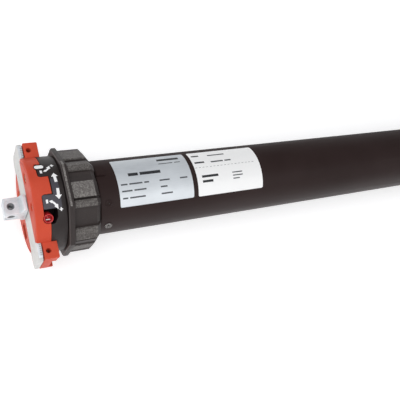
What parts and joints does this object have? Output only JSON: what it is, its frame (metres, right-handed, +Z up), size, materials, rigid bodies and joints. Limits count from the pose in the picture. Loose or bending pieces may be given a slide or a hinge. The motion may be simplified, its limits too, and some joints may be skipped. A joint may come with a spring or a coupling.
{
  "type": "roller shutter motor",
  "caption": "Tubular motor for a roller shutter: head with square bearing pin, limit crown, labelled tube, planetary gearbox and octagonal drive wheel.",
  "frame": {"origin": "centre of the square bearing pin's end face", "axes": "+X along the tube, from the head to the drive wheel; +Y along the mounting plate; +Z up, through the two adjusting screws' side"},
  "size_m": [0.6, 0.0704, 0.06],
  "materials": {
    "zinc": "bright zinc plate",
    "steel": "machined, lightly oiled",
    "red_plastic": "moulded, satin",
    "black_plastic": "moulded, satin",
    "crown_plastic": "moulded, satin, with textured pads",
    "white_plastic": "moulded, satin",
    "black_paint": "gloss black lacquer on steel tube",
    "silver_foil": "printed metallic foil",
    "white_foil": "printed white film",
    "lamination": "bare steel laminations",
    "copper": "enamelled copper wire",
    "aluminium": "die cast",
    "grey_plastic": "moulded, satin"
  },
  "bodies": {
    "housing": {"brake_coil": "copper", "brake_spring": "steel", "cable_socket": "black_plastic", "cam_spindle": "steel", "cap_screw_1": "zinc", "cap_screw_2": "zinc", "capacitor_ring_1": "black_plastic", "capacitor_ring_2": "black_plastic", "crown_stop": "black_plastic", "front_bearing": "steel", "front_cap": "red_plastic", "front_shield": "aluminium", "gearbox_cap": "aluminium", "gearbox_ring": "steel", "head_body": "black_plastic", "limit_frame": "grey_plastic", "limit_switch_down": "black_plastic", "limit_switch_up": "black_plastic", "motor_tube": "black_paint", "mounting_plate": "zinc", "output_bearing": "steel", "rating_label": "silver_foil", "rear_bearing": "steel", "rear_shield": "aluminium", "run_capacitor": "grey_plastic", "serial_label": "white_foil", "square_pin": "zinc", "stator_core": "lamination", "tube_rivet_1": "black_paint", "tube_rivet_2": "black_paint", "tube_rivet_3": "black_paint", "tube_rivet_4": "black_paint", "tube_rivet_5": "black_paint", "tube_rivet_6": "black_paint", "winding_front": "copper", "winding_rear": "copper"},
    "crown": {"crown_ring": "crown_plastic"},
    "limit_shaft": {"limit_pinion": "white_plastic"},
    "cam_up": {"limit_cam_up": "white_plastic"},
    "cam_down": {"limit_cam_down": "white_plastic"},
    "rotor": {"rotor_core": "lamination", "rotor_shaft": "steel"},
    "brake_plate": {"brake_disc": "lamination"},
    "carrier_1": {"carrier_1": "steel"},
    "carrier_2": {"carrier_2": "steel"},
    "output": {"output_carrier": "steel", "drive_wheel": "black_plastic", "wheel_washer": "zinc", "wheel_screw": "zinc"},
    "screw_up": {"adjusting_screw_up": "white_plastic"},
    "screw_down": {"adjusting_screw_down": "red_plastic"},
    "planet_1a": {"planet_1a": "steel"},
    "planet_1b": {"planet_1b": "steel"},
    "planet_1c": {"planet_1c": "steel"},
    "planet_2a": {"planet_2a": "steel"},
    "planet_2b": {"planet_2b": "steel"},
    "planet_2c": {"planet_2c": "steel"},
    "planet_3a": {"planet_3a": "steel"},
    "planet_3b": {"planet_3b": "steel"},
    "planet_3c": {"planet_3c": "steel"}
  },
  "joints": [
    {"name": "crown_spin", "type": "hinge", "parent": "housing", "child": "crown", "pos_m": [0.04, 0, 0], "axis": [1, 0, 0], "continuous": true},
    {"name": "limit_shaft_spin", "type": "hinge", "parent": "housing", "child": "limit_shaft", "pos_m": [0.0455, 0, -0.016], "axis": [1, 0, 0], "continuous": true},
    {"name": "cam_up_spin", "type": "hinge", "parent": "housing", "child": "cam_up", "pos_m": [0.102, 0, -0.0016], "axis": [1, 0, 0], "continuous": true},
    {"name": "cam_down_spin", "type": "hinge", "parent": "housing", "child": "cam_down", "pos_m": [0.114, 0, -0.0016], "axis": [1, 0, 0], "continuous": true},
    {"name": "rotor_spin", "type": "hinge", "parent": "housing", "child": "rotor", "pos_m": [0.37, 0, 0], "axis": [1, 0, 0], "continuous": true},
    {"name": "carrier_1_spin", "type": "hinge", "parent": "housing", "child": "carrier_1", "pos_m": [0.443, 0, 0], "axis": [1, 0, 0], "continuous": true},
    {"name": "planet_1a_spin", "type": "hinge", "parent": "carrier_1", "child": "planet_1a", "pos_m": [0.443, 0.0108, 0], "axis": [1, 0, 0], "continuous": true},
    {"name": "planet_1b_spin", "type": "hinge", "parent": "carrier_1", "child": "planet_1b", "pos_m": [0.443, -0.0054, 0.00935], "axis": [1, 0, 0], "continuous": true},
    {"name": "planet_1c_spin", "type": "hinge", "parent": "carrier_1", "child": "planet_1c", "pos_m": [0.443, -0.0054, -0.00935], "axis": [1, 0, 0], "continuous": true},
    {"name": "carrier_2_spin", "type": "hinge", "parent": "housing", "child": "carrier_2", "pos_m": [0.472, 0, 0], "axis": [1, 0, 0], "continuous": true},
    {"name": "planet_2a_spin", "type": "hinge", "parent": "carrier_2", "child": "planet_2a", "pos_m": [0.472, 0.0108, 0], "axis": [1, 0, 0], "continuous": true},
    {"name": "planet_2b_spin", "type": "hinge", "parent": "carrier_2", "child": "planet_2b", "pos_m": [0.472, -0.0054, 0.00935], "axis": [1, 0, 0], "continuous": true},
    {"name": "planet_2c_spin", "type": "hinge", "parent": "carrier_2", "child": "planet_2c", "pos_m": [0.472, -0.0054, -0.00935], "axis": [1, 0, 0], "continuous": true},
    {"name": "drive_spin", "type": "hinge", "parent": "housing", "child": "output", "pos_m": [0.504, 0, 0], "axis": [1, 0, 0], "continuous": true},
    {"name": "planet_3a_spin", "type": "hinge", "parent": "output", "child": "planet_3a", "pos_m": [0.504, 0.0108, 0], "axis": [1, 0, 0], "continuous": true},
    {"name": "planet_3b_spin", "type": "hinge", "parent": "output", "child": "planet_3b", "pos_m": [0.504, -0.0054, 0.00935], "axis": [1, 0, 0], "continuous": true},
    {"name": "planet_3c_spin", "type": "hinge", "parent": "output", "child": "planet_3c", "pos_m": [0.504, -0.0054, -0.00935], "axis": [1, 0, 0], "continuous": true},
    {"name": "brake_release", "type": "slide", "parent": "rotor", "child": "brake_plate", "axis": [-1, 0, 0], "range_m": [0, 0.0004], "stiffness_N_per_m": 4000, "springref_m": -0.002},
    {"name": "adjusting_screw_up_turn", "type": "hinge", "parent": "housing", "child": "screw_up", "pos_m": [0.0196, 0.01137, 0.0193], "axis": [0, 0.5075, 0.8616], "continuous": true},
    {"name": "adjusting_screw_down_turn", "type": "hinge", "parent": "housing", "child": "screw_down", "pos_m": [0.0196, -0.01253, 0.01857], "axis": [0, -0.5592, 0.829], "continuous": true}
  ],
  "couplings": [
    {"joint": "limit_shaft_spin", "follows": "crown_spin", "ratio": 3.2857},
    {"joint": "cam_up_spin", "follows": "crown_spin", "ratio": -1.0952},
    {"joint": "cam_down_spin", "follows": "crown_spin", "ratio": -1.0952},
    {"joint": "carrier_1_spin", "follows": "rotor_spin", "ratio": 0.1875},
    {"joint": "planet_1a_spin", "follows": "rotor_spin", "ratio": -0.4875},
    {"joint": "planet_1b_spin", "follows": "rotor_spin", "ratio": -0.4875},
    {"joint": "planet_1c_spin", "follows": "rotor_spin", "ratio": -0.4875},
    {"joint": "carrier_2_spin", "follows": "rotor_spin", "ratio": 0.035156},
    {"joint": "planet_2a_spin", "follows": "rotor_spin", "ratio": -0.091406},
    {"joint": "planet_2b_spin", "follows": "rotor_spin", "ratio": -0.091406},
    {"joint": "planet_2c_spin", "follows": "rotor_spin", "ratio": -0.091406},
    {"joint": "drive_spin", "follows": "rotor_spin", "ratio": 0.0065918},
    {"joint": "planet_3a_spin", "follows": "rotor_spin", "ratio": -0.017139},
    {"joint": "planet_3b_spin", "follows": "rotor_spin", "ratio": -0.017139},
    {"joint": "planet_3c_spin", "follows": "rotor_spin", "ratio": -0.017139}
  ]
}
